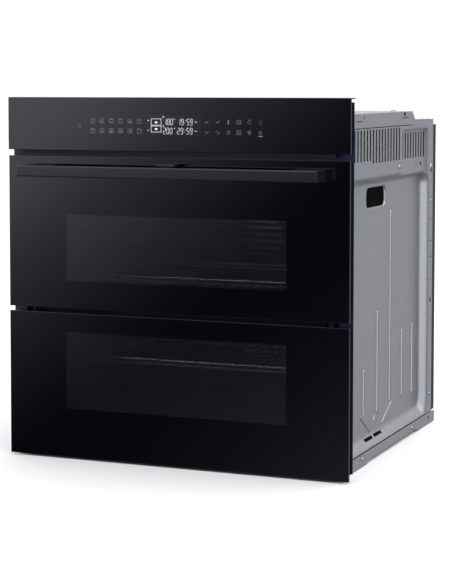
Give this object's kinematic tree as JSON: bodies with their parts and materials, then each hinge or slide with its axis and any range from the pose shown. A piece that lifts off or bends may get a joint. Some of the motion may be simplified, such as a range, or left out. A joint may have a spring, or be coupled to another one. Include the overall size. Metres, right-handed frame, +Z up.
{
  "type": "built-in wall oven",
  "caption": "Built-in oven with a black glass front, split door with bar handle and release lever, divided cavity, racks, fans and a pressed galvanised casing.",
  "frame": {"origin": "bottom centre of the bounding box: under the middle of the oven, at the underside of its feet", "axes": "+Z up, +Y from the handle to the rear cover, +X to the oven's right as seen from the front"},
  "size_m": [0.595, 0.61, 0.597],
  "materials": {
    "black_glass": "gloss black back-printed safety glass",
    "clear_glass": "clear heat-reflecting glass",
    "navy_enamel": "satin dark navy vitreous enamel",
    "cavity_enamel": "charcoal vitreous enamel with fine speckle",
    "galvanised": "matt hot-dip galvanised sheet",
    "dark_steel": "dark coated steel sheet",
    "anodised": "satin black anodised aluminium",
    "black_plastic": "fine matt moulded plastic",
    "stainless": "drawn stainless steel",
    "heater_sheath": "heat-darkened alloy sheath",
    "seal": "woven heat-proof seal",
    "insulation": "pressed mineral wool",
    "circuit": "green lacquered circuit board"
  },
  "bodies": {
    "oven_body": {"front_frame": "navy_enamel", "control_panel_glass": "black_glass", "panel_housing": "black_plastic", "display_module": "black_plastic", "touch_board": "circuit", "side_panel_left": "galvanised", "side_panel_right": "galvanised", "top_panel": "galvanised", "air_duct_cover": "galvanised", "rear_cover": "dark_steel", "base_tray": "galvanised", "terminal_block": "black_plastic", "cavity_liner": "cavity_enamel", "insulation": "insulation", "cavity_gasket": "seal", "cavity_divider": "cavity_enamel", "divider_gasket": "seal", "side_rack_left": "stainless", "side_rack_right": "stainless", "fan_cover_upper": "cavity_enamel", "fan_cover_lower": "cavity_enamel", "ring_heater_upper": "heater_sheath", "ring_heater_lower": "heater_sheath", "fan_motor_upper": "dark_steel", "fan_motor_lower": "dark_steel", "grill_heater": "heater_sheath", "bottom_heater": "heater_sheath", "lamp_lens": "clear_glass", "temperature_probe": "stainless", "blower_housing": "galvanised", "blower_motor": "dark_steel", "power_board": "circuit", "hinge_arm_left": "dark_steel", "hinge_arm_right": "dark_steel"},
    "lower_door": {"lower_door_glass": "black_glass", "lower_door_frame": "dark_steel", "lower_door_middle_glass": "clear_glass", "lower_door_inner_glass": "clear_glass", "middle_arm_left": "dark_steel", "middle_arm_right": "dark_steel", "lower_pin_left": "dark_steel", "lower_pin_right": "dark_steel"},
    "upper_door": {"upper_door_glass": "black_glass", "upper_door_frame": "dark_steel", "upper_door_middle_glass": "clear_glass", "upper_door_inner_glass": "clear_glass", "upper_pin_left": "dark_steel", "upper_pin_right": "dark_steel", "handle_bar": "anodised", "handle_post_left": "black_plastic", "handle_post_right": "black_plastic", "lever_housing": "anodised"},
    "release": {"release_lever": "anodised", "latch_link": "stainless"},
    "lower_rack": {"wire_rack_lower": "stainless"},
    "upper_rack": {"wire_rack_upper": "stainless"},
    "convection_fan_upper": {"fan_upper": "stainless"},
    "convection_fan_lower": {"fan_lower": "stainless"},
    "cooling_fan": {"blower_wheel": "galvanised"}
  },
  "joints": [
    {"name": "full_door_hinge", "type": "hinge", "parent": "oven_body", "child": "lower_door", "pos_m": [0, -0.249, 0.012], "axis": [1, 0, 0], "range_deg": [0, 90], "stiffness_Nm_per_rad": 9, "springref_deg": -28.65},
    {"name": "upper_door_hinge", "type": "hinge", "parent": "lower_door", "child": "upper_door", "pos_m": [0, -0.249, 0.257], "axis": [1, 0, 0], "range_deg": [0, 90], "stiffness_Nm_per_rad": 5, "springref_deg": -34.38},
    {"name": "release_lever_press", "type": "slide", "parent": "upper_door", "child": "release", "axis": [0, 0, -1], "range_m": [0, 0.005], "stiffness_N_per_m": 900, "springref_m": -0.006},
    {"name": "lower_rack_slide", "type": "slide", "parent": "oven_body", "child": "lower_rack", "axis": [0, -1, 0], "range_m": [0, 0.252]},
    {"name": "upper_rack_slide", "type": "slide", "parent": "oven_body", "child": "upper_rack", "axis": [0, -1, 0], "range_m": [0, 0.126]},
    {"name": "upper_fan_spin", "type": "hinge", "parent": "oven_body", "child": "convection_fan_upper", "pos_m": [0, 0.161, 0.348], "axis": [0, 1, 0], "continuous": true},
    {"name": "lower_fan_spin", "type": "hinge", "parent": "oven_body", "child": "convection_fan_lower", "pos_m": [0, 0.161, 0.159], "axis": [0, 1, 0], "continuous": true},
    {"name": "cooling_fan_spin", "type": "hinge", "parent": "oven_body", "child": "cooling_fan", "pos_m": [0, 0.071, 0.5], "axis": [0, 0, 1], "continuous": true}
  ],
  "couplings": [
    {"joint": "lower_rack_slide", "follows": "full_door_hinge", "m_per_rad": 0.16},
    {"joint": "upper_rack_slide", "follows": "upper_door_hinge", "m_per_rad": 0.08}
  ]
}
